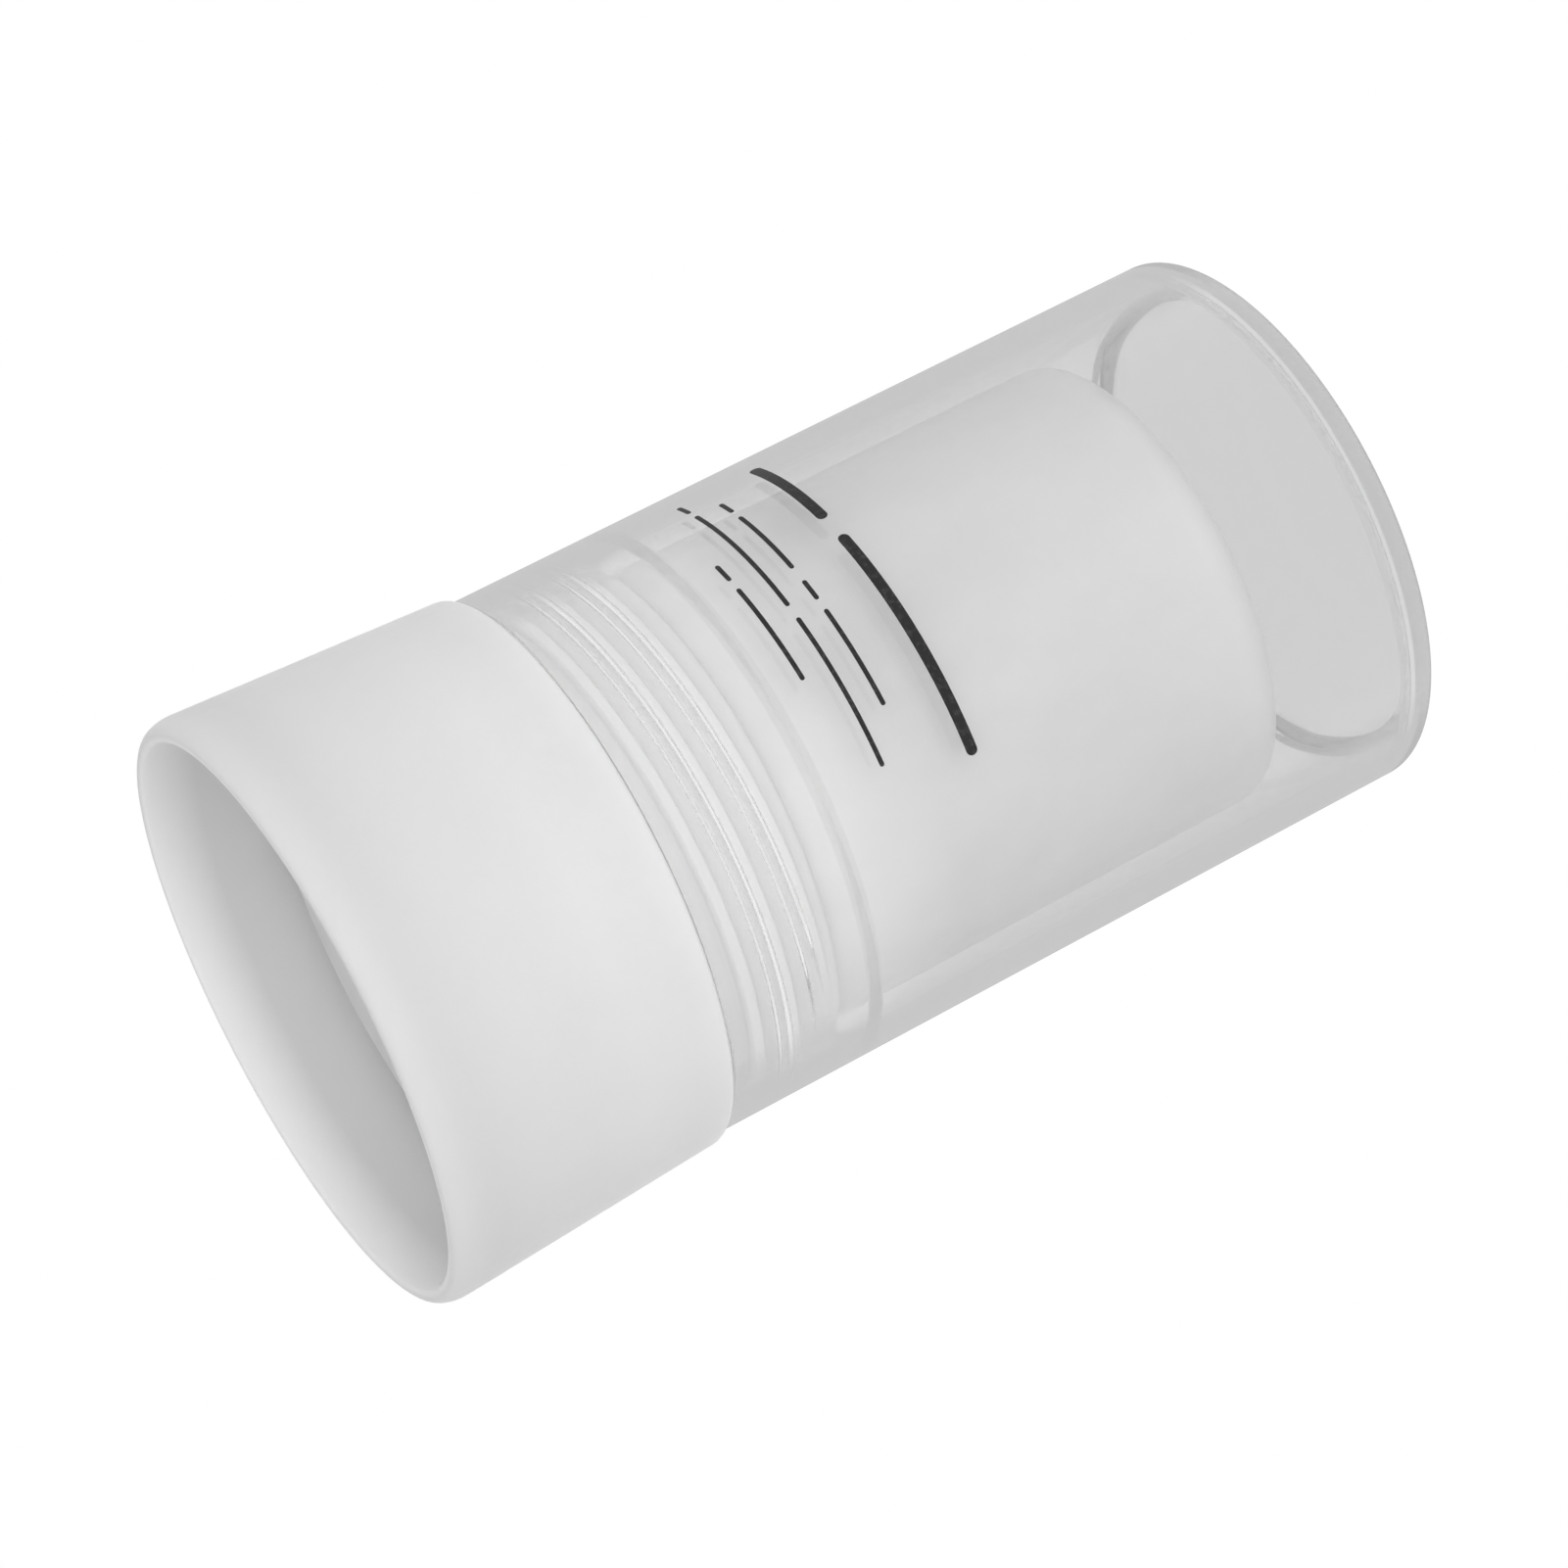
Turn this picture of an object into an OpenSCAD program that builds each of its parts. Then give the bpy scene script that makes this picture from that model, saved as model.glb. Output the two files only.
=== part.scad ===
// Alum aftershave stick: a cylindrical alum stone standing in a frosted moulded
// base, under a clear cap that screws on to the base's neck. Millimetres, +Z up,
// the origin at the centre of the foot rim. The stone's diameter drives every
// other radius: cup, neck, thread, cap and skirt are built outwards from it.

/* [Alum stone] */
// Diameter of the stone
stone_d = 30; // [24:0.5:40]
// Length of the stone, from the floor of its cup to its top
stone_len = 52; // [36:1:80]
// Radius of the rounded edge round the stone's top
stone_edge_r = 2.4; // [0.5:0.1:6]
// Gap all round between the stone and its cup
stone_fit = 0.05; // [0.02:0.01:0.2]

/* [Base] */
// Height of the skirt, from the foot to the shoulder that the cap stops on
skirt_h = 19.15; // [15:0.05:26]
// How far the foot stands out beyond the top of the skirt
skirt_flare = 0.98; // [0.2:0.02:2.5]
// Wall of the skirt at the foot
foot_wall = 1.25; // [1.1:0.05:2]
// Wall of the skirt under the shoulder
skirt_wall = 1.1; // [0.8:0.05:1.5]
// Height of the rounding outside the foot rim
rim_round_h = 1.55; // [0.4:0.05:3]
// Width of the rounding outside the foot rim
rim_round_w = 0.75; // [0.3:0.05:0.85]
// Radius of the rounding inside the foot rim
rim_inner_r = 0.2; // [0.05:0.05:0.3]
// Thickness of the shoulder that joins the skirt to the cup
shoulder_t = 1.3; // [0.8:0.1:2.5]
// Ledge of the shoulder that stays visible outside the cap
ledge_w = 0.42; // [0.2:0.02:1.5]
// Radius of the shoulder's outer edge
shoulder_edge_r = 0.35; // [0.1:0.05:0.8]
// Height of the underside of the cup above the foot
cup_under_h = 7.4; // [3:0.1:10]
// Thickness of the cup's floor, which the stone stands on
floor_t = 1.2; // [0.8:0.1:2.5]
// Wall of the cup and of the neck above it
cup_wall = 0.95; // [0.8:0.05:1.6]
// Radius of the cup's lower edge
cup_edge_r = 0.4; // [0.1:0.05:0.7]
// Height of the neck above the shoulder
neck_h = 8.3; // [6:0.1:14]
// Chamfer of the neck's top edges
neck_chamfer = 0.25; // [0.05:0.05:0.35]

/* [Thread] */
// Pitch of the single-start right-hand thread
thread_pitch = 2.4; // [2:0.1:3.2]
// Height of each ridge above its wall
thread_depth = 0.45; // [0.3:0.05:0.7]
// Width of a ridge where it leaves its wall
ridge_root_w = 1.1; // [0.8:0.05:1.2]
// Width of a ridge at its crest
ridge_crest_w = 0.45; // [0.2:0.05:0.6]
// Gap between a crest and the wall that it faces
crest_play = 0.1; // [0.08:0.01:0.3]
// Gap between the flanks that bear when the cap is tight
flank_play = 0.06; // [0.03:0.01:0.3]
// Plain neck below the first ridge
thread_lead_in = 0.83; // [0.5:0.01:1.5]
// Plain neck above the last ridge
thread_lead_out = 0.5; // [0.4:0.05:1.5]
// Turns of the neck's ridge that pass before the cap's ridge starts
cap_thread_delay = 0.5; // [0.4:0.05:1]
// Part of a turn in which a ridge rises to its full height
thread_runout = 0.1; // [0.05:0.025:0.2]

/* [Cap] */
// Free height between the stone's top and the cap's closed end
headspace = 8.2; // [2:0.1:30]
// Thickness of the closed end
cap_end_t = 0.8; // [0.6:0.1:3]
// Wall of the cap at its threaded mouth
lip_wall = 1.05; // [0.8:0.05:1.15]
// Wall of the cap just above the thread
cap_wall = 1.4; // [1.25:0.05:1.8]
// Taper of the bore: how much its radius falls up to the closed end
bore_draft = 0.1; // [0:0.02:0.5]
// How much the outer radius grows from the mouth to the closed end
cap_swell = 0.18; // [0:0.02:0.6]
// Radius of the outer edge of the closed end
cap_edge_r = 0.3; // [0.1:0.05:1]
// Radius of the inner corner of the closed end
cap_corner_r = 1; // [0.1:0.05:2]
// Chamfer inside the mouth, which leads the cap on to the neck
mouth_chamfer = 0.25; // [0.1:0.05:0.4]
// Gap between the mouth of the cap and the shoulder
seam = 0.08; // [0.03:0.01:0.5]
// Distance from the neck's top to the step in the bore
step_gap = 1.45; // [0.3:0.05:4]
// Height of the sloping step between the threaded bore and the plain one
step_h = 1; // [0.2:0.1:2]

/* [Hidden] */
$fn = 120;
// Straight pieces in a rounded corner
corner_steps = 4;
// Stations of a ridge in one turn
turn_steps = 30;
// Depth to which a ridge is rooted in its wall
ridge_bury = 0.4;
full_turn = 360;
quarter_turn = 90;
// Azimuth where the neck's ridge starts
thread_azimuth = 177;

// Radii, from the stone outwards
stone_r = stone_d/2;
cup_bore_r = stone_r + stone_fit;
cup_r = cup_bore_r + cup_wall;
neck_crest_r = cup_r + thread_depth;
cap_thread_r = neck_crest_r + crest_play;
cap_mouth_r = cap_thread_r + lip_wall;
cap_end_r = cap_mouth_r + cap_swell;
bore_low_r = cap_mouth_r - cap_wall;
bore_high_r = bore_low_r - bore_draft;
skirt_top_r = cap_mouth_r + ledge_w;
foot_r = skirt_top_r + skirt_flare;
foot_bore_r = foot_r - foot_wall;
skirt_bore_r = skirt_top_r - skirt_wall;

// Heights, from the foot upwards
shoulder_under_h = skirt_h - shoulder_t;
floor_h = cup_under_h + floor_t;
neck_top_h = skirt_h + neck_h;
mouth_h = skirt_h + seam;
step_low_h = neck_top_h + step_gap;
step_top_h = step_low_h + step_h;
stone_top_h = floor_h + stone_len;
bore_top_h = stone_top_h + headspace;
cap_top_h = bore_top_h + cap_end_t;

// Thread: height of the ridge's middle at its start, turns, slope of the flanks,
// and how far the cap's ridge lies below the neck's so that the flanks bear
thread_start_h = skirt_h + thread_lead_in + ridge_root_w/2;
thread_end_h = neck_top_h - thread_lead_out - ridge_root_w/2;
neck_last_step = floor((thread_end_h - thread_start_h)/thread_pitch*turn_steps);
cap_first_step = ceil(cap_thread_delay*turn_steps);
runout_steps = ceil(thread_runout*turn_steps);
flank_slope = (ridge_root_w - ridge_crest_w)/2/thread_depth;
flank_shift = ridge_root_w - flank_slope*(cap_thread_r - cup_r) + flank_play;

// Point of the line from a to b at the height h, in a half-section [radius, height]
function at_height(a, b, h) = a + (b - a)*(h - a[1])/(b[1] - a[1]);

// Rounded corner k between the points a and b on its two edges: a quarter of an
// ellipse, tangent to both edges
function bend(a, k, b) = [
    for (i = [0:corner_steps])
        let (t = quarter_turn*i/corner_steps)
        a + b - k + (k - b)*cos(t) + (k - a)*sin(t)
];

// One station of a ridge: four points across it, from root to crest and back. A
// positive rise stands outwards from the wall and a negative one inwards. The
// share is 1 where the ridge has its full height and 0 where it ends in the wall.
// An inward crest is widened so that its straight chords keep the full radius.
function ridge_station(wall_r, rise, drop, step, share) =
    let (
        side = sign(rise),
        azimuth = thread_azimuth + full_turn*step/turn_steps,
        height = thread_start_h + thread_pitch*step/turn_steps - drop,
        root_r = wall_r - side*ridge_bury,
        widen = rise < 0 ? 1/cos(full_turn/turn_steps/2) : 1,
        crest_r = (wall_r + rise*share - side*ridge_bury/2*(1 - share))*widen,
        root_half = side*ridge_root_w/2 + flank_slope*(wall_r - root_r),
        crest_half = side*ridge_root_w/2 + flank_slope*(wall_r - crest_r)
    )
    [
        for (p = [[root_r, -root_half], [crest_r, -crest_half],
                  [crest_r, crest_half], [root_r, root_half]])
            [p[0]*cos(azimuth), p[0]*sin(azimuth), height + p[1]]
    ];

// Helical ridge of the thread, swept through its stations
module thread_ridge(wall_r, rise, drop, first, last) {
    stations = [
        for (step = [first:last])
            ridge_station(wall_r, rise, drop, step,
                          min(1, (step - first)/runout_steps, (last - step)/runout_steps))
    ];
    corners = len(stations[0]);
    sides = [
        for (s = [0:last - first - 1], c = [0:corners - 1])
            let (
                near = s*corners + c,
                next = s*corners + (c + 1) % corners
            )
            each [[near, next, near + corners], [next, next + corners, near + corners]]
    ];
    start_cap = [for (c = [corners - 1:-1:0]) c];
    end_cap = [for (c = [0:corners - 1]) (last - first)*corners + c];
    polyhedron(points = [for (s = stations) each s], faces = concat([start_cap], sides, [end_cap]));
}

// Half-section of the base: tapered skirt, shoulder, threaded neck and the cup
// that hangs inside the skirt, clear of it all round
module base_section() {
    foot_corner = [foot_r, 0];
    top_corner = [skirt_top_r, skirt_h];
    bore_foot = [foot_bore_r, 0];
    bore_top = [skirt_bore_r, shoulder_under_h];
    cup_corner = [cup_r, cup_under_h];
    polygon(concat(
        bend(at_height(bore_foot, bore_top, rim_inner_r), bore_foot, [foot_bore_r + rim_inner_r, 0]),
        bend([foot_r - rim_round_w, 0], foot_corner, at_height(foot_corner, top_corner, rim_round_h)),
        bend(at_height(foot_corner, top_corner, skirt_h - shoulder_edge_r),
             top_corner, [skirt_top_r - shoulder_edge_r, skirt_h]),
        [
            [cup_r, skirt_h],
            [cup_r, neck_top_h - neck_chamfer],
            [cup_r - neck_chamfer, neck_top_h],
            [cup_bore_r + neck_chamfer, neck_top_h],
            [cup_bore_r, neck_top_h - neck_chamfer],
            [cup_bore_r, floor_h],
            [0, floor_h],
            [0, cup_under_h]
        ],
        bend([cup_r - cup_edge_r, cup_under_h], cup_corner, [cup_r, cup_under_h + cup_edge_r]),
        [[cup_r, shoulder_under_h], bore_top]
    ));
}

// Half-section of the stone, a plain cylinder with a rounded top edge
module stone_section() {
    polygon(concat(
        [[0, floor_h], [stone_r, floor_h]],
        bend([stone_r, stone_top_h - stone_edge_r], [stone_r, stone_top_h],
             [stone_r - stone_edge_r, stone_top_h]),
        [[0, stone_top_h]]
    ));
}

// Half-section of the cap: threaded mouth, step, plain bore and closed end
module cap_section() {
    mouth_corner = [cap_mouth_r, mouth_h];
    end_corner = [cap_end_r, cap_top_h];
    bore_step = [bore_low_r, step_top_h];
    bore_corner = [bore_high_r, bore_top_h];
    polygon(concat(
        [mouth_corner],
        bend(at_height(mouth_corner, end_corner, cap_top_h - cap_edge_r),
             end_corner, [cap_end_r - cap_edge_r, cap_top_h]),
        [[0, cap_top_h], [0, bore_top_h]],
        bend([bore_high_r - cap_corner_r, bore_top_h], bore_corner,
             at_height(bore_step, bore_corner, bore_top_h - cap_corner_r)),
        [
            bore_step,
            [cap_thread_r, step_low_h],
            [cap_thread_r, mouth_h + mouth_chamfer],
            [cap_thread_r + mouth_chamfer, mouth_h]
        ]
    ));
}

module base() {
    color([0.87, 0.87, 0.87])
    union() {
        rotate_extrude() base_section();
        thread_ridge(cup_r, thread_depth, 0, 0, neck_last_step);
    }
}

module alum_stone() {
    color([0.82, 0.83, 0.84])
    rotate_extrude() stone_section();
}

module cap() {
    color([0.9, 0.93, 0.95, 0.35])
    union() {
        rotate_extrude() cap_section();
        thread_ridge(cap_thread_r, -thread_depth, flank_shift, cap_first_step, neck_last_step);
    }
}

base();
alum_stone();
cap();
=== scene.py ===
"""Looks of an alum aftershave stick: a cloudy alum stone standing in a frosted
moulded base, under a clear screw cap. Lengths are written in millimetres, as in
the CAD, and turned into metres where a mesh, lamp or camera is made."""

import math

import bmesh
import bpy
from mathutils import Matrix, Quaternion, Vector


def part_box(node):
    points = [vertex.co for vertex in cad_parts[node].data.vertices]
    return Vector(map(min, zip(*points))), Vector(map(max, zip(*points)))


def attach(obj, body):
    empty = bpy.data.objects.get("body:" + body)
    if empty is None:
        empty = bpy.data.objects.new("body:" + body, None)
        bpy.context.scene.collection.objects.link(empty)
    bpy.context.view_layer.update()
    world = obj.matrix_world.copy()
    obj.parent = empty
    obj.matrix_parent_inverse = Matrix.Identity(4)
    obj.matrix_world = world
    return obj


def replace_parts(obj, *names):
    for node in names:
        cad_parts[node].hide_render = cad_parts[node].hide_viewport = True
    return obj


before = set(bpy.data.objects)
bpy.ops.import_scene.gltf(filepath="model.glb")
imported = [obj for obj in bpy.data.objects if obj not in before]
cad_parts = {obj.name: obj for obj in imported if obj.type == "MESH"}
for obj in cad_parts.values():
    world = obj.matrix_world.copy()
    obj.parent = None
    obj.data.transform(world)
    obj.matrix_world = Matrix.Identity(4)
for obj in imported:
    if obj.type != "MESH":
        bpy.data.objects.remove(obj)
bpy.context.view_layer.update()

MM = 0.001
TURN = 2*math.pi

# Sizes read from the CAD nodes
_, BASE_HIGH = (c/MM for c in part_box("base"))
STONE_LOW, STONE_HIGH = (c/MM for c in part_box("alum_stone"))
CAP_LOW, CAP_HIGH = (c/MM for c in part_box("cap"))
STONE_R = STONE_HIGH.x
FLOOR_H = STONE_LOW.z
STONE_TOP_H = STONE_HIGH.z
NECK_TOP_H = BASE_HIGH.z
MOUTH_H = CAP_LOW.z
CAP_TOP_H = CAP_HIGH.z

# Sizes that repeat the CAD's own: stone and base
STONE_EDGE_R = 2.4
CUP_BORE_R = STONE_R + 0.05
CUP_R = CUP_BORE_R + 0.95
CUP_UNDER_H = FLOOR_H - 1.2
CUP_EDGE_R = 0.4
NECK_CHAMFER = 0.25
SKIRT_H = 19.15
SHOULDER_UNDER_H = SKIRT_H - 1.3
SHOULDER_EDGE_R = 0.35
RIM_ROUND_H = 1.55
RIM_ROUND_W = 0.75
RIM_INNER_R = 0.2

# The thread
PITCH = 2.4
RIDGE_DEPTH = 0.45
RIDGE_ROOT_W = 1.1
RIDGE_CREST_W = 0.45
THREAD_AZIMUTH = 177/360
THREAD_START_H = SKIRT_H + 0.83 + RIDGE_ROOT_W/2
NECK_TURNS = (0, 2.43)
CAP_TURNS = (0.5, 2.43)
RUNOUT_TURNS = 0.13
CAP_THREAD_DROP = 0.763

# The cap
CAP_THREAD_R = CUP_R + RIDGE_DEPTH + 0.1
CAP_MOUTH_R = CAP_THREAD_R + 1.05
CAP_END_R = CAP_MOUTH_R + 0.18
BORE_LOW_R = CAP_MOUTH_R - 1.4
BORE_HIGH_R = BORE_LOW_R - 0.1
BORE_TOP_H = CAP_TOP_H - 0.8
STEP_LOW_H = NECK_TOP_H + 1.45
STEP_TOP_H = STEP_LOW_H + 1
CAP_EDGE_R = 0.3
CAP_CORNER_R = 1
MOUTH_CHAMFER = 0.25
SKIRT_TOP_R = CAP_MOUTH_R + 0.42
FOOT_R = SKIRT_TOP_R + 0.97
FOOT_BORE_R = FOOT_R - 1.25
SKIRT_BORE_R = SKIRT_TOP_R - 1.1

# Fineness of the meshes
SEGMENTS = 480
CORNER_STEPS = 8
LONGEST_ROW = 3.0
SUPPORT = 0.12
SHARP_ANGLE = math.radians(60)

# Rows of a thread within one pitch, as distances from the middle of its ridge. They
# stand close on the flanks.
HALF_ROWS = [0.12, 0.20, 0.25, 0.30, 0.35, 0.40, 0.45, 0.50, 0.55, 0.62, 0.80]
ROW_PLACES = [-PITCH/2] + [-x for x in reversed(HALF_ROWS)] + [0] + HALF_ROWS

# The printed bars on the cap: (height on the cap, thickness, spans of azimuth in
# degrees), generic marks that stand where a print is
PRINT_BARS = [
    (38.7, 0.72, [(-159.0, -131.5), (-126.0, -75.5)]),
    (35.0, 0.30, [(-150.5, -145.5), (-143.0, -124.0), (-120.5, -115.5), (-113.0, -91.5)]),
    (33.3, 0.30, [(-158.0, -153.0), (-150.5, -117.0), (-114.0, -81.5)]),
    (31.5, 0.30, [(-133.0, -128.0), (-125.5, -102.5)]),
]
PRINT_GAP = 0.003
PRINT_THICKNESS = 0.014
PRINT_STEP = math.radians(1.5)

# The floor turns white between these distances from the stick's axis
FADE_START_R = 120
FADE_END_R = 1200

# How far the floor lies below the foot rim, so that the two don't share a plane
FLOOR_DROP = 0.05

# Camera, fitted to the photograph's outlines
CAMERA_PLACE = (0, -272.63, -61.63)
CAMERA_AIM = (0.979, 0, 33.61)
CAMERA_ROLL = math.radians(62.715)
CAMERA_LENS = 109.794
CAMERA_SENSOR = 36
CAMERA_CLIP = 10

# Light Path depths: a ray's first hit lies below the first value, and past one of
# the others a ray is taken to be trapped in the clear wall
FIRST_HIT = 0.5
TRAPPED_GLOSSY = 3.5
TRAPPED_DEPTH = 9.5


def smooth(x):
    """Soft step from 0 to 1 as x goes from 0 to 1."""
    x = min(1, max(0, x))
    return x*x*(3 - 2*x)


def along(a, b, h):
    """Point of the line from a to b at the height h."""
    t = (h - a[1])/(b[1] - a[1])
    return (a[0] + (b[0] - a[0])*t, h)


def bend(a, k, b):
    """Rounded corner k between a and b on its two edges, a quarter of an ellipse."""
    points = []
    for i in range(CORNER_STEPS + 1):
        t = TURN/4*i/CORNER_STEPS
        points.append(tuple(a[n] + b[n] - k[n] + (k[n] - b[n])*math.cos(t)
                            + (k[n] - a[n])*math.sin(t) for n in (0, 1)))
    return points


def ease(a, b):
    """Soft step of a half-section from a to b."""
    steps = 2*CORNER_STEPS
    return [(a[0] + (b[0] - a[0])*smooth(i/steps), a[1] + (b[1] - a[1])*i/steps)
            for i in range(steps + 1)]


def dense(profile):
    """The half-section with support rows beside its corners and rows on long walls."""
    points = [profile[0]]
    for a, b in zip(profile, profile[1:]):
        length = math.dist(a, b)
        if length > 3*SUPPORT:
            rows = math.ceil((length - 2*SUPPORT)/LONGEST_ROW)
            for i in range(rows + 1):
                t = (SUPPORT + (length - 2*SUPPORT)*i/rows)/length
                points.append((a[0] + (b[0] - a[0])*t, a[1] + (b[1] - a[1])*t))
        points.append(b)
    return points


def add_piece(mesh, body, material):
    """The mesh as a smooth piece of the same name, riding on its body."""
    mesh.polygons.foreach_set("use_smooth", [True]*len(mesh.polygons))
    mesh.set_sharp_from_angle(angle=SHARP_ANGLE)
    mesh.materials.append(material)
    obj = bpy.data.objects.new(mesh.name, mesh)
    bpy.context.scene.collection.objects.link(obj)
    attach(obj, body)
    return obj


class Lathe:
    """A closed surface of revolution, built ring by ring from one end of the axis."""

    def __init__(self):
        self.verts = []
        self.faces = []
        self.last = None

    def point(self, r, z, j):
        azimuth = TURN*j/SEGMENTS
        self.verts.append((r*math.cos(azimuth)*MM, r*math.sin(azimuth)*MM, z*MM))
        return len(self.verts) - 1

    def ring(self, r, z):
        if r < 1e-6:
            return [self.point(0, z, 0)]*SEGMENTS
        return [self.point(r, z, j) for j in range(SEGMENTS)]

    def face(self, corners):
        unique = list(dict.fromkeys(corners))
        if len(unique) > 2:
            self.faces.append(unique)

    def wall(self, profile):
        """Adds the rings of a half-section, joined to the ring before."""
        for r, z in profile:
            ring = self.ring(r, z)
            if self.last:
                for j in range(SEGMENTS):
                    k = (j + 1) % SEGMENTS
                    self.face((self.last[j], self.last[k], ring[k], ring[j]))
            self.last = ring

    def threaded_wall(self, wall_r, rise, start_h, turns, low_h, high_h):
        """Adds a wall downwards with a helical ridge, on rows that follow the helix."""
        low, high = self.ring(wall_r, low_h), self.last
        origin_h = start_h - PITCH*THREAD_AZIMUTH
        rows = len(ROW_PLACES)
        made = {}

        def corner(i, j):
            if j == SEGMENTS:
                return corner(i + rows, 0)
            z = origin_h + PITCH*(i//rows + j/SEGMENTS) + ROW_PLACES[i % rows]
            if z <= low_h:
                return low[j]
            if z >= high_h:
                return high[j]
            if (i, j) not in made:
                run = j/SEGMENTS - THREAD_AZIMUTH + i//rows
                share = ridge_share(ROW_PLACES[i % rows], run, turns)
                made[i, j] = self.point(wall_r + rise*share, z, j)
            return made[i, j]

        first = (math.floor((low_h - origin_h)/PITCH) - 2)*rows
        last = (math.ceil((high_h - origin_h)/PITCH) + 1)*rows
        for i in range(first, last):
            for j in range(SEGMENTS):
                self.face((corner(i, j), corner(i, j + 1),
                           corner(i + 1, j + 1), corner(i + 1, j)))
        self.last = low

    def piece(self, name, body, replaced, material):
        """The mesh as a piece on its body, standing for a CAD node."""
        mesh = bpy.data.meshes.new(name)
        mesh.from_pydata(self.verts, [], self.faces)
        bm = bmesh.new()
        bm.from_mesh(mesh)
        loose = [v for v in bm.verts if not v.link_faces]
        bmesh.ops.delete(bm, geom=loose, context="VERTS")
        bmesh.ops.recalc_face_normals(bm, faces=bm.faces)
        bm.to_mesh(mesh)
        bm.free()
        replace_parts(add_piece(mesh, body, material), replaced)


def ridge_share(across, run, turns):
    """Share of its full height that a ridge has, across from its middle and on its run."""
    flank = (RIDGE_ROOT_W - RIDGE_CREST_W)/2
    ends = min(run - turns[0], turns[1] - run)/RUNOUT_TURNS
    return smooth((RIDGE_ROOT_W/2 - abs(across))/flank)*smooth(ends)


def make_base(material):
    """Skirt, shoulder, threaded neck and the cup that hangs inside the skirt."""
    foot, top = (FOOT_R, 0), (SKIRT_TOP_R, SKIRT_H)
    bore_foot, bore_top = (FOOT_BORE_R, 0), (SKIRT_BORE_R, SHOULDER_UNDER_H)
    lathe = Lathe()
    lathe.wall(dense([
        (0, FLOOR_H), (CUP_BORE_R, FLOOR_H),
        (CUP_BORE_R, NECK_TOP_H - NECK_CHAMFER), (CUP_BORE_R + NECK_CHAMFER, NECK_TOP_H),
        (CUP_R - NECK_CHAMFER, NECK_TOP_H), (CUP_R, NECK_TOP_H - NECK_CHAMFER),
        (CUP_R, NECK_TOP_H - 2*NECK_CHAMFER)]))
    lathe.threaded_wall(CUP_R, RIDGE_DEPTH, THREAD_START_H, NECK_TURNS,
                        SKIRT_H + NECK_CHAMFER, NECK_TOP_H - 2*NECK_CHAMFER)
    lathe.wall(dense(
        [(CUP_R, SKIRT_H)]
        + bend((SKIRT_TOP_R - SHOULDER_EDGE_R, SKIRT_H), top,
               along(foot, top, SKIRT_H - SHOULDER_EDGE_R))
        + bend(along(foot, top, RIM_ROUND_H), foot, (FOOT_R - RIM_ROUND_W, 0))
        + bend((FOOT_BORE_R + RIM_INNER_R, 0), bore_foot,
               along(bore_foot, bore_top, RIM_INNER_R))
        + [bore_top, (CUP_R, SHOULDER_UNDER_H)]
        + bend((CUP_R, CUP_UNDER_H + CUP_EDGE_R), (CUP_R, CUP_UNDER_H),
               (CUP_R - CUP_EDGE_R, CUP_UNDER_H))
        + [(0, CUP_UNDER_H)]))
    lathe.piece("frosted_base", "base", "base", material)


def make_stone(material):
    """Cylindrical stone with a rounded top edge."""
    lathe = Lathe()
    lathe.wall(dense(
        [(0, FLOOR_H), (STONE_R, FLOOR_H)]
        + bend((STONE_R, STONE_TOP_H - STONE_EDGE_R), (STONE_R, STONE_TOP_H),
               (STONE_R - STONE_EDGE_R, STONE_TOP_H))
        + [(0, STONE_TOP_H)]))
    lathe.piece("stone", "base", "alum_stone", material)


def make_cap(material):
    """Clear cap: threaded mouth, step, plain bore and flat closed end."""
    mouth, end = (CAP_MOUTH_R, MOUTH_H), (CAP_END_R, CAP_TOP_H)
    step, corner = (BORE_LOW_R, STEP_TOP_H), (BORE_HIGH_R, BORE_TOP_H)
    lathe = Lathe()
    lathe.wall(dense(
        [(0, BORE_TOP_H)]
        + bend((BORE_HIGH_R - CAP_CORNER_R, BORE_TOP_H), corner,
               along(step, corner, BORE_TOP_H - CAP_CORNER_R))
        + ease(step, (CAP_THREAD_R, STEP_LOW_H))
        + [(CAP_THREAD_R, STEP_LOW_H - MOUTH_CHAMFER)]))
    lathe.threaded_wall(CAP_THREAD_R, -RIDGE_DEPTH, THREAD_START_H - CAP_THREAD_DROP,
                        CAP_TURNS, MOUTH_H + 2*MOUTH_CHAMFER, STEP_LOW_H - MOUTH_CHAMFER)
    lathe.wall(dense(
        [(CAP_THREAD_R, MOUTH_H + MOUTH_CHAMFER), (CAP_THREAD_R + MOUTH_CHAMFER, MOUTH_H), mouth]
        + bend(along(mouth, end, CAP_TOP_H - CAP_EDGE_R), end,
               (CAP_END_R - CAP_EDGE_R, CAP_TOP_H))
        + [(0, CAP_TOP_H)]))
    lathe.piece("clear_cap", "cap", "cap", material)


def bar_columns(first, last, half_angle):
    """(azimuth, share of the full height) of a bar's columns, with rounded ends."""
    ends = [half_angle*(1 - math.cos(TURN/4*i/CORNER_STEPS)) for i in range(CORNER_STEPS)]
    columns = [(first + e, math.sqrt(1 - (1 - e/half_angle)**2)) for e in ends]
    start, stop = first + half_angle, last - half_angle
    steps = max(1, math.ceil((stop - start)/PRINT_STEP))
    columns += [(start + (stop - start)*i/steps, 1) for i in range(steps + 1)]
    return columns + [(last - e, math.sqrt(1 - (1 - e/half_angle)**2)) for e in reversed(ends)]


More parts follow.
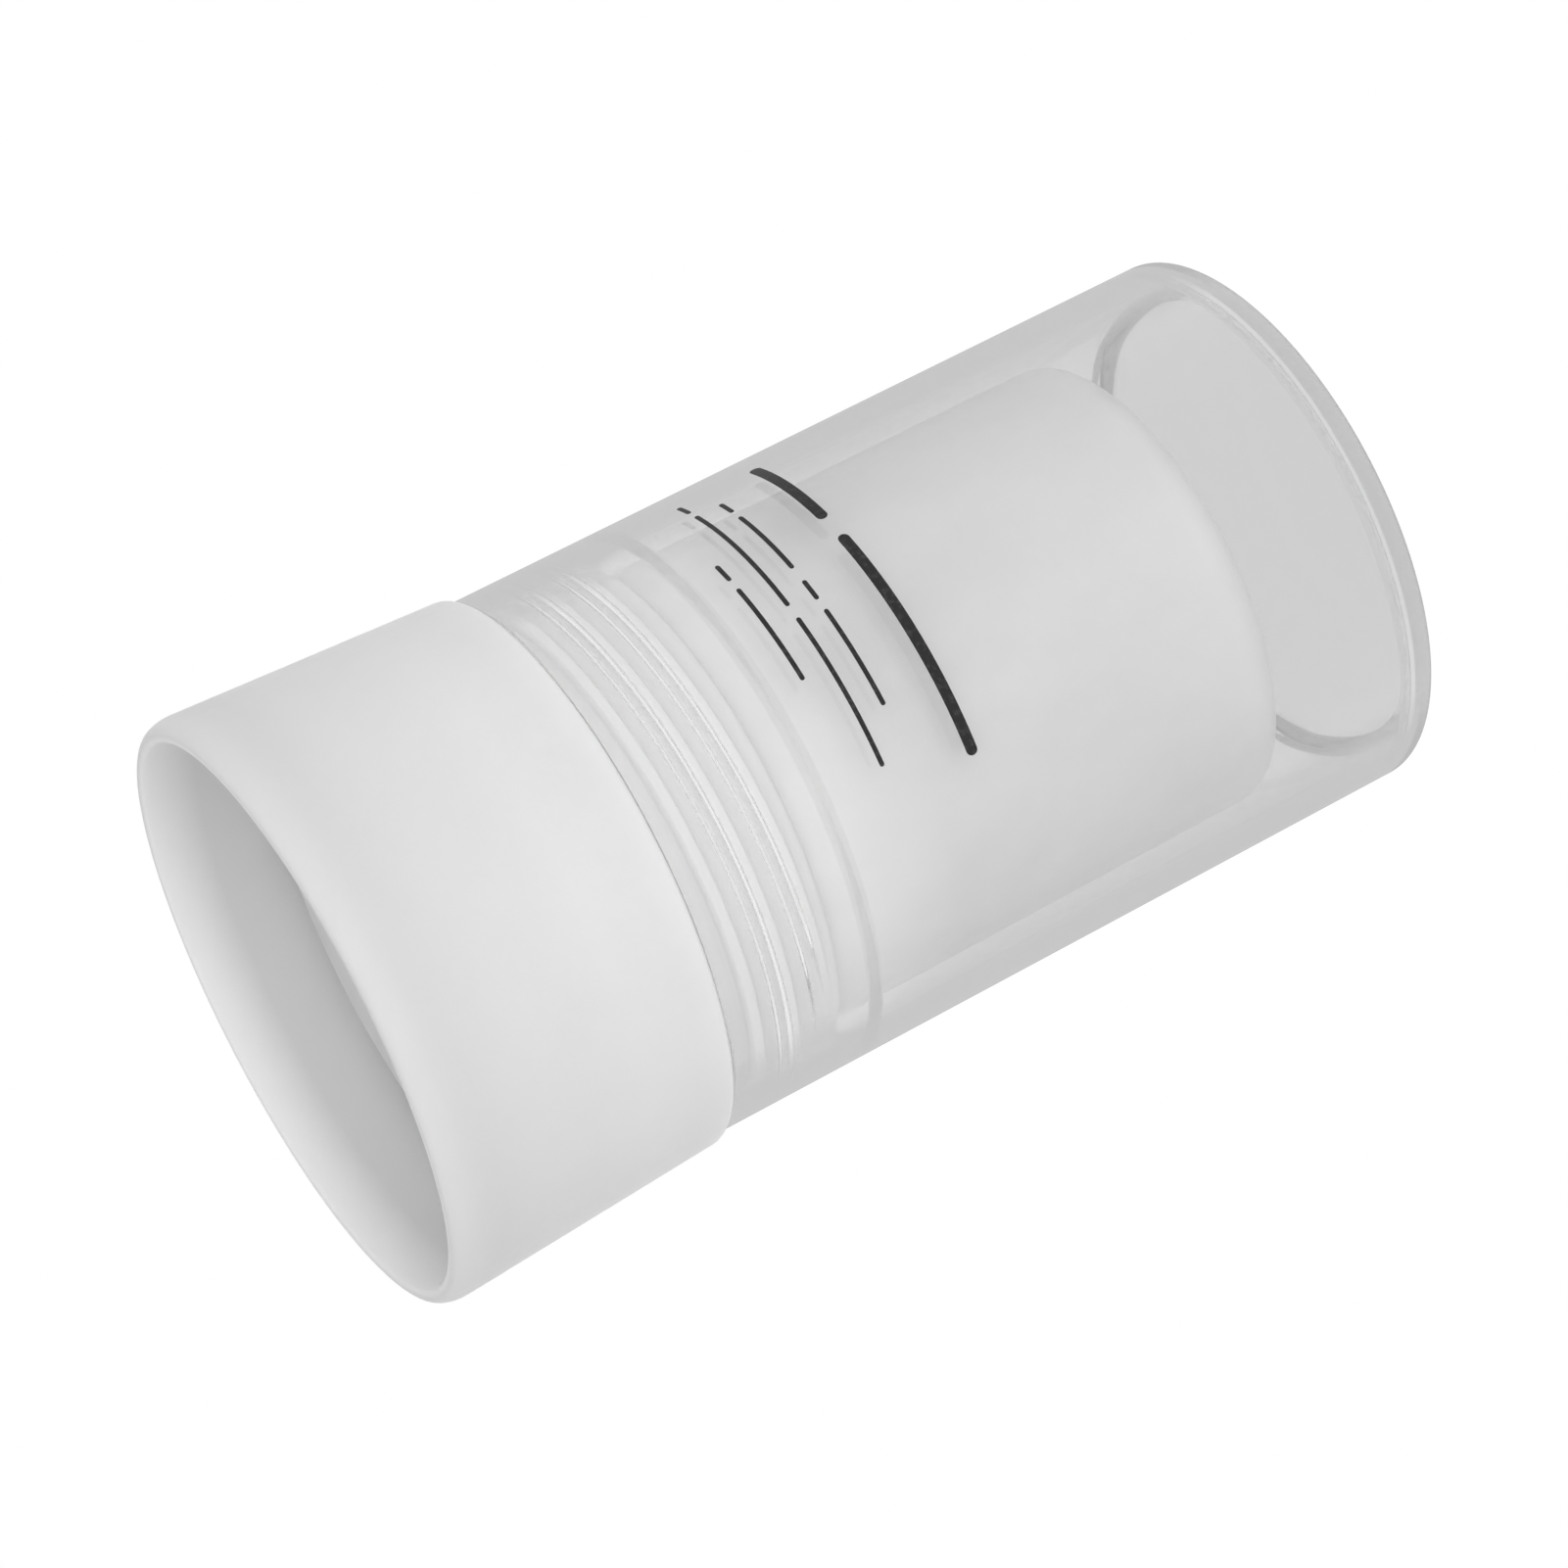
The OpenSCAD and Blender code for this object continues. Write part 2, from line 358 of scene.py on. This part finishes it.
def add_bar(bm, height, thickness, first, last):
    """One printed bar, a thin closed strip that follows the cap's wall."""
    rings = []
    for azimuth, share in bar_columns(first, last, thickness/2/CAP_MOUTH_R):
        half = max(share*thickness/2, 0.01)
        ring = []
        for dz, lift in ((-half, PRINT_GAP), (-half, PRINT_GAP + PRINT_THICKNESS),
                         (half, PRINT_GAP + PRINT_THICKNESS), (half, PRINT_GAP)):
            z = height + dz
            r = along((CAP_MOUTH_R, MOUTH_H), (CAP_END_R, CAP_TOP_H), z)[0] + lift
            ring.append(bm.verts.new((r*math.cos(azimuth)*MM, r*math.sin(azimuth)*MM, z*MM)))
        rings.append(ring)
    for a, b in zip(rings, rings[1:]):
        for k in range(4):
            bm.faces.new((a[k], a[(k + 1) % 4], b[(k + 1) % 4], b[k]))
    bm.faces.new(rings[0])
    bm.faces.new(reversed(rings[-1]))


def make_print(material):
    """The printed bars on the cap."""
    bm = bmesh.new()
    for height, thickness, spans in PRINT_BARS:
        for first, last in spans:
            add_bar(bm, height, thickness, math.radians(first), math.radians(last))
    bmesh.ops.recalc_face_normals(bm, faces=bm.faces)
    mesh = bpy.data.meshes.new("cap_print")
    bm.to_mesh(mesh)
    bm.free()
    add_piece(mesh, "cap", material)


class Shader:
    """A material's or the world's node tree, with short calls to add and link nodes."""

    def __init__(self, holder):
        holder.use_nodes = True
        self.tree = holder.node_tree
        self.tree.nodes.clear()

    def add(self, kind, settings=None, **inputs):
        """A new node. Inputs are named with _ for spaces, and take a value or a socket."""
        new = self.tree.nodes.new("ShaderNode" + kind)
        for key, value in (settings or {}).items():
            setattr(new, key, value)
        for key, value in inputs.items():
            self.put(new.inputs[key.replace("_", " ")], value)
        return new

    def put(self, socket, value):
        if isinstance(value, bpy.types.NodeSocket):
            self.tree.links.new(value, socket)
        else:
            socket.default_value = value

    def math(self, operation, *values, clamp=False):
        new = self.add("Math", {"operation": operation, "use_clamp": clamp})
        for socket, value in zip(new.inputs, values):
            self.put(socket, value)
        return new.outputs[0]

    def place(self):
        """The point on the piece, in millimetres."""
        scale = self.add("VectorMath", {"operation": "SCALE"}, Scale=1/MM)
        self.put(scale.inputs[0], self.add("TexCoord").outputs["Object"])
        return scale.outputs[0]

    def radius_and_height(self):
        """Distance from the stick's axis and height, in millimetres."""
        x, y, z = self.add("SeparateXYZ", Vector=self.place()).outputs
        square = self.math("ADD", self.math("MULTIPLY", x, x), self.math("MULTIPLY", y, y))
        return self.math("SQRT", square), z

    def unrolled(self, radius):
        """The point unrolled from its cylinder: round, up and outwards, in millimetres."""
        x, y, _ = self.add("SeparateXYZ", Vector=self.place()).outputs
        from_axis, z = self.radius_and_height()
        azimuth = self.math("ARCTAN2", y, x)
        join = self.add("CombineXYZ", X=self.math("MULTIPLY", azimuth, radius), Y=z, Z=from_axis)
        return join.outputs[0]

    def stretched(self, vector, scale):
        new = self.add("VectorMath", {"operation": "MULTIPLY"})
        self.put(new.inputs[0], vector)
        self.put(new.inputs[1], scale)
        return new.outputs[0]

    def noise(self, vector, scale, detail=2.0, roughness=0.5):
        return self.add("TexNoise", Vector=vector, Scale=scale, Detail=detail,
                        Roughness=roughness).outputs["Fac"]

    def span(self, value, low, high, to_low, to_high):
        """Value from low to high turned into to_low to to_high, and held there."""
        return self.add("MapRange", Value=value, From_Min=low, From_Max=high,
                        To_Min=to_low, To_Max=to_high).outputs["Result"]

    def within(self, value, low, high):
        """1 where the value lies between low and high, and 0 a little outside them."""
        return self.math("MULTIPLY", self.span(value, low - 0.1, low, 0, 1),
                         self.span(value, high, high + 0.1, 1, 0))

    def blend(self, factor, a, b):
        """Colour a where the factor is 0 and b where it is 1."""
        new = self.add("Mix", {"data_type": "RGBA"})
        self.put(new.inputs[0], factor)
        self.put(new.inputs[6], a)
        self.put(new.inputs[7], b)
        return new.outputs[2]

    def bump(self, height, distance, strength=1.0, normal=None):
        new = self.add("Bump", Height=height, Distance=distance, Strength=strength)
        if normal:
            self.put(new.inputs["Normal"], normal)
        return new.outputs["Normal"]

    def mix(self, factor, a, b):
        new = self.add("MixShader")
        self.put(new.inputs[0], factor)
        self.put(new.inputs[1], a.outputs[0])
        self.put(new.inputs[2], b.outputs[0])
        return new

    def out(self, shader, kind="OutputMaterial"):
        self.tree.links.new(shader.outputs[0], self.add(kind).inputs["Surface"])


def grey(level):
    return (level, level, level, 1)


def base_painted_light_and_shade(s, place):
    """Greys of the base, with painted light and shade: painted darker low on the skirt,
    where nothing stands behind its wall, and painted paler inside the rim and at the root
    of the neck, for light that passes the translucent wall."""
    radius, height = s.radius_and_height()
    cloud = s.noise(place, 0.12, detail=3)
    backed = s.blend(s.span(cloud, 0.3, 0.7, 0, 1), grey(0.775), grey(0.80))
    # Painted light: the inner wall is painted paler towards the rim.
    inside = s.blend(s.span(height, 0.3, 3.5, 0, 1), grey(0.90), grey(0.69))
    inner = s.blend(s.span(radius, CUP_R, CUP_R + 0.5, 0, 1), grey(0.70), inside)
    # Painted shade: the skirt low down, with nothing behind its wall, is painted darker than the
    # wall round the cup.
    outer_painted_shade = s.blend(s.span(height, 0.5, 2.5, 0, 1), grey(0.70), grey(0.68))
    skirt = s.blend(s.span(radius, FOOT_BORE_R, FOOT_BORE_R + 0.5, 0, 1), inner, outer_painted_shade)
    lower_painted_shade = s.blend(s.span(height, CUP_UNDER_H - 4, CUP_UNDER_H + 6, 0, 1), skirt, backed)
    # Painted light: the root of the neck is painted paler.
    neck = s.blend(s.span(height, SKIRT_H + 0.6, SKIRT_H + 1.4, 0, 1), grey(0.92), grey(0.80))
    return s.blend(s.span(height, SKIRT_H - 0.1, SKIRT_H + 0.1, 0, 1), lower_painted_shade, neck)


def frosted_plastic():
    """Frosted translucent polypropylene: milky, finely eroded and faintly cloudy."""
    mat = bpy.data.materials.new("frosted_plastic")
    s = Shader(mat)
    place = s.place()
    erosion = s.noise(place, 7.0, detail=3, roughness=0.6)
    rough = s.span(s.noise(place, 0.9, detail=4), 0.3, 0.7, 0.40, 0.52)
    s.out(s.add("BsdfPrincipled", Base_Color=base_painted_light_and_shade(s, place), Roughness=rough, IOR=1.49,
                Subsurface_Weight=0.9, Subsurface_Radius=(1.0, 1.0, 1.0), Subsurface_Scale=0.002,
                Normal=s.bump(erosion, 0.000012)))
    return mat


def alum():
    """Alum: a translucent salt, cloudy inside and polished by water and use."""
    mat = bpy.data.materials.new("alum")
    s = Shader(mat)
    place = s.place()
    cloud = s.noise(s.stretched(place, (1, 1, 0.45)), 0.16, detail=5, roughness=0.6)
    grain = s.noise(place, 2.4, detail=4)
    waves = s.noise(place, 0.22, detail=2)
    color = s.blend(s.span(cloud, 0.32, 0.68, 0, 1), grey(0.82), grey(0.865))
    rough = s.span(grain, 0.3, 0.7, 0.30, 0.45)
    normal = s.bump(waves, 0.00025, normal=s.bump(grain, 0.00002))
    s.out(s.add("BsdfPrincipled", Base_Color=color, Roughness=rough, IOR=1.46,
                Subsurface_Weight=0.9, Subsurface_Radius=(1.0, 1.0, 1.0), Subsurface_Scale=0.003,
                Coat_Weight=0.25, Coat_Roughness=0.12, Normal=normal))
    return mat


def cap_bends(s, radius, height):
    """1 at the inner corner of the closed end and at the step in the bore."""
    corner = s.math("MULTIPLY", s.within(radius, BORE_HIGH_R - CAP_CORNER_R, BORE_LOW_R),
                    s.within(height, BORE_TOP_H - CAP_CORNER_R, BORE_TOP_H))
    step = s.math("MULTIPLY", s.within(radius, BORE_LOW_R, CAP_THREAD_R),
                  s.within(height, STEP_LOW_H, STEP_TOP_H))
    return s.math("MAXIMUM", corner, step)


def cap_tint_painted_light_and_shade(s, radius, height, first, facing):
    """Greys of the clear wall, with painted light and shade: painted paler at the mouth, so
    the neck behind it shows lighter; painted darker at a slant, for a grazing wall that lets
    less light through; and painted darker in the band round the closed end."""
    # Painted shade: the wall is darker at a slant.
    slant = s.span(facing, 0.42, 0.72, 0, 1)
    body = s.blend(slant, grey(0.80), grey(0.58))
    # Painted light: the mouth is paler, so the neck behind it shows lighter.
    mouth = s.blend(slant, grey(0.97), grey(0.66))
    walls = s.blend(s.span(height, STEP_LOW_H - 3, STEP_TOP_H + 6, 0, 1), mouth, body)
    # Painted shade: a darker band round the closed end.
    band = s.math("MULTIPLY", s.within(radius, CAP_END_R - CAP_EDGE_R, CAP_END_R),
                  s.span(height, BORE_TOP_H - 0.6, BORE_TOP_H - 0.5, 0, 1))
    return s.blend(s.math("MULTIPLY", first, band), walls, grey(0.47))


def cap_glass(s, radius, height, tint, bends):
    """The polished clear wall, with moulding waves and hairline rubs. It is a little
    less smooth at the thread and at the bends of the bore."""
    around = s.unrolled(CAP_MOUTH_R)
    wall = s.span(radius, 6, 14, 0, 1)
    waves = s.noise(s.stretched(around, (1, 0.25, 0.5)), 0.12, detail=1)
    hairs = s.noise(s.stretched(around, (6.0, 0.25, 1)), 1.0, detail=2)
    patches = s.noise(around, 0.12, detail=2)
    rubbed = s.math("MULTIPLY", s.span(hairs, 0.66, 0.72, 0, 1),
                    s.span(patches, 0.5, 0.62, 0, 1))
    rough = s.math("ADD", s.span(s.math("MULTIPLY", rubbed, wall), 0, 1, 0.03, 0.055),
                   s.span(height, STEP_LOW_H - 2, STEP_LOW_H, 0.07, 0))
    rough = s.math("ADD", rough, s.span(bends, 0, 1, 0, 0.15))
    return s.add("BsdfPrincipled", Base_Color=tint, Roughness=rough, IOR=1.53,
                 Transmission_Weight=1.0,
                 Normal=s.bump(s.math("MULTIPLY", waves, wall), 0.00006))


def clear_plastic():
    """Clear styrene plastic, faintly grey. Rays from lamps and from matt surfaces pass
    straight, so what it holds is lit, and rays trapped in the wall leave it."""
    mat = bpy.data.materials.new("clear_plastic")
    s = Shader(mat)
    radius, height = s.radius_and_height()
    light = s.add("LightPath")
    first = s.math("LESS_THAN", light.outputs["Ray Depth"], FIRST_HIT)
    facing = s.math("MULTIPLY", first, s.add("LayerWeight", Blend=0.5).outputs["Facing"])
    bends = cap_bends(s, radius, height)
    glass = cap_glass(s, radius, height, cap_tint_painted_light_and_shade(s, radius, height, first, facing), bends)
    # Painted shade: at a slant the glass gives way to a dim grey gloss, darker round the closed
    # end.
    edge = s.blend(s.span(height, BORE_TOP_H - 0.2, BORE_TOP_H + 0.1, 0, 1),
                   grey(0.55), grey(0.47))
    rim = s.add("BsdfGlossy", Color=edge, Roughness=0.08)
    glass_with_painted_edge_shade = s.mix(s.span(facing, 0.45, 0.64, 0, 0.9), glass, rim)
    trapped = s.math("MAXIMUM",
                     s.math("GREATER_THAN", light.outputs["Glossy Depth"], TRAPPED_GLOSSY),
                     s.math("GREATER_THAN", light.outputs["Ray Depth"], TRAPPED_DEPTH))
    later = s.math("SUBTRACT", 1.0, first)
    faint = s.span(s.math("MULTIPLY", bends, later), 0, 1, 0, 0.85)
    leaving = s.mix(s.math("MAXIMUM", trapped, faint), glass_with_painted_edge_shade,
                    s.add("BsdfTransparent", Color=grey(0.88)))
    lighting = s.math("MAXIMUM", light.outputs["Is Shadow Ray"],
                      light.outputs["Is Diffuse Ray"])
    s.out(s.mix(lighting, leaving, s.add("BsdfTransparent", Color=grey(1.0))))
    absorb = s.add("VolumeAbsorption", Color=grey(0.5), Density=20.0)
    s.tree.links.new(absorb.outputs[0], s.tree.nodes["Material Output"].inputs["Volume"])
    return mat


def ink():
    """Screen-printed ink: nearly black, matt, a little thin in places."""
    mat = bpy.data.materials.new("ink")
    s = Shader(mat)
    place = s.place()
    thin = s.noise(place, 3.0, detail=4)
    color = s.blend(s.span(thin, 0.5, 0.75, 0, 1), grey(0.02), grey(0.055))
    s.out(s.add("BsdfPrincipled", Base_Color=color,
                Roughness=s.span(thin, 0.3, 0.7, 0.42, 0.6), Specular_IOR_Level=0.2,
                Normal=s.bump(thin, 0.000004)))
    return mat


def seen(s):
    """1 for rays that show the background: from the camera, by gloss or through glass."""
    light = s.add("LightPath")
    return s.math("MAXIMUM", light.outputs["Is Camera Ray"],
                  s.math("MAXIMUM", light.outputs["Is Glossy Ray"],
                         light.outputs["Is Transmission Ray"]))


def make_world(ambient):
    world = bpy.data.worlds.new("studio")
    bpy.context.scene.world = world
    s = Shader(world)
    s.out(s.mix(seen(s), s.add("Background", Color=grey(1), Strength=ambient),
                s.add("Background", Color=grey(1), Strength=1.0)), "OutputWorld")


def make_floor(size, albedo, glow):
    """Pale floor, seen from above only, that fades into the white background far from
    the object. It takes the object's shadow, and light from below passes it, so that
    the open foot is lit when it is seen from below."""
    half = size/2
    mesh = bpy.data.meshes.new("floor")
    corners = [(-half, -half), (half, -half), (half, half), (-half, half)]
    mesh.from_pydata([(x, y, -FLOOR_DROP*MM) for x, y in corners], [], [(0, 1, 2, 3)])
    mat = bpy.data.materials.new("floor")
    s = Shader(mat)
    paper = s.noise(s.place(), 0.4, detail=3)
    matt = s.add("BsdfDiffuse", Color=s.blend(paper, grey(albedo), grey(albedo*0.99)))
    lit = s.add("AddShader")
    s.put(lit.inputs[0], matt.outputs[0])
    s.put(lit.inputs[1], s.add("Emission", Color=grey(1), Strength=glow).outputs[0])
    far = s.span(s.radius_and_height()[0], FADE_START_R, FADE_END_R, 0, 1)
    faded = s.mix(far, lit, s.add("Emission", Color=grey(1), Strength=1.0))
    front = s.math("SUBTRACT", 1.0, s.add("NewGeometry").outputs["Backfacing"])
    s.out(s.mix(s.math("MULTIPLY", front, seen(s)), s.add("BsdfTransparent"), faded))
    mesh.materials.append(mat)
    obj = bpy.data.objects.new("floor", mesh)
    bpy.context.scene.collection.objects.link(obj)


def make_lamp(name, place, aim, size, power):
    """A soft square lamp. Place, aim and size are in metres and power in watts."""
    data = bpy.data.lights.new(name, "AREA")
    data.size = size
    data.energy = power
    obj = bpy.data.objects.new(name, data)
    obj.location = place
    obj.rotation_euler = (Vector(aim) - Vector(place)).to_track_quat("-Z", "Y").to_euler()
    obj.visible_camera = False
    obj.visible_glossy = False
    obj.visible_transmission = False
    bpy.context.scene.collection.objects.link(obj)


def make_camera():
    data = bpy.data.cameras.new("camera")
    data.lens = CAMERA_LENS
    data.sensor_width = CAMERA_SENSOR
    data.clip_start = CAMERA_CLIP*MM
    cam = bpy.data.objects.new("camera", data)
    place, aim = Vector(CAMERA_PLACE)*MM, Vector(CAMERA_AIM)*MM
    cam.location = place
    cam.rotation_mode = "QUATERNION"
    cam.rotation_quaternion = ((aim - place).to_track_quat("-Z", "Y")
                               @ Quaternion((0, 0, 1), CAMERA_ROLL))
    bpy.context.scene.collection.objects.link(cam)
    bpy.context.scene.camera = cam


make_base(frosted_plastic())
make_stone(alum())
make_cap(clear_plastic())
make_print(ink())

bpy.context.scene.view_settings.view_transform = "Standard"
make_world(ambient=0.635)
make_floor(size=6.0, albedo=0.78, glow=0.25)
make_lamp("key", place=(-0.34, -3.33, -0.40), aim=(0, 0, 0.035), size=2.7, power=55.0)
make_lamp("back", place=(0.60, 2.60, 2.60), aim=(0, 0, 0.035), size=2.0, power=34.0)
make_lamp("fill", place=(0.70, -0.45, -0.70), aim=(0, 0, 0.01), size=0.8, power=0.7)
make_camera()
